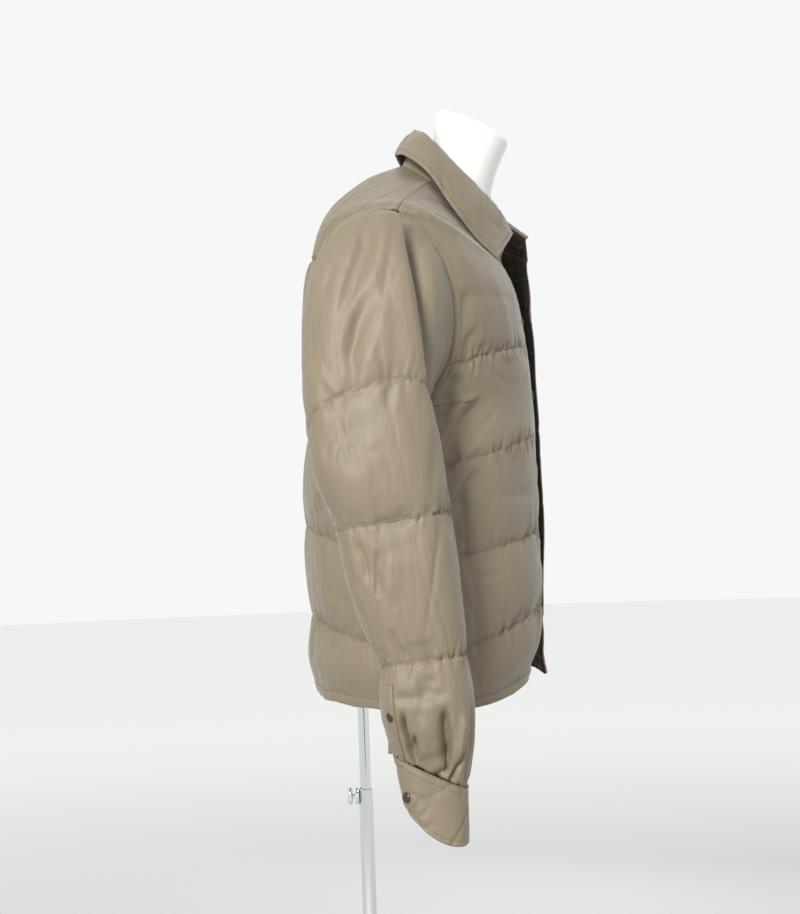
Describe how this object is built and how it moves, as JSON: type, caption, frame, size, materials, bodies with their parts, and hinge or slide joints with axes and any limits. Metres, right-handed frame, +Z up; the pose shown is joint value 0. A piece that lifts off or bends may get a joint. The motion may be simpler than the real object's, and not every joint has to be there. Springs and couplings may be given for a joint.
{
  "type": "quilted down shirt jacket on a dress form and pole stand",
  "caption": "Waist-length quilted down jacket with a shirt collar and a snap front, worn open by a limbless dress form on a telescopic pole stand.",
  "frame": {"origin": "centre of the base plate's underside, on the axis of the pole", "axes": "+Z up along the pole, -Y the way that the wearer faces, -X the wearer's right"},
  "size_m": [0.604, 0.3829, 1.5185],
  "materials": {
    "cloth": "greige taffeta with a soft satin sheen",
    "check_lining": "dark brown and green woven check, matt",
    "snap_metal": "dark satin",
    "form_white": "smooth matt white",
    "chrome": "polished"
  },
  "bodies": {
    "stand": {"base_plate": "chrome", "lower_tube": "chrome", "clamp_boss": "chrome"},
    "screw": {"wing_screw": "chrome"},
    "mast": {"upper_tube": "chrome", "dress_form": "form_white", "back": "cloth", "right_front": "cloth", "left_front": "cloth", "right_sleeve": "cloth", "right_cuff": "cloth", "left_sleeve": "cloth", "left_cuff": "cloth", "collar_stand": "cloth", "collar_leaf": "cloth", "right_sleeve_placket": "cloth", "left_sleeve_placket": "cloth", "left_facing": "check_lining", "right_sleeve_snap": "snap_metal", "right_cuff_snap": "snap_metal", "left_sleeve_snap": "snap_metal", "left_cuff_snap": "snap_metal", "left_stand_snap": "snap_metal", "right_front_snap_1": "snap_metal", "right_front_snap_2": "snap_metal", "right_front_snap_3": "snap_metal", "right_front_snap_4": "snap_metal", "right_front_snap_5": "snap_metal", "left_front_snap_1": "snap_metal", "left_front_snap_2": "snap_metal", "left_front_snap_3": "snap_metal", "left_front_snap_4": "snap_metal", "left_front_snap_5": "snap_metal"}
  },
  "joints": [
    {"name": "height_slide", "type": "slide", "parent": "stand", "child": "mast", "axis": [0, 0, 1], "range_m": [-0.15, 0.2]},
    {"name": "clamp_screw", "type": "hinge", "parent": "stand", "child": "screw", "pos_m": [0, 0, 0.769], "axis": [0, 1, 0], "continuous": true}
  ]
}
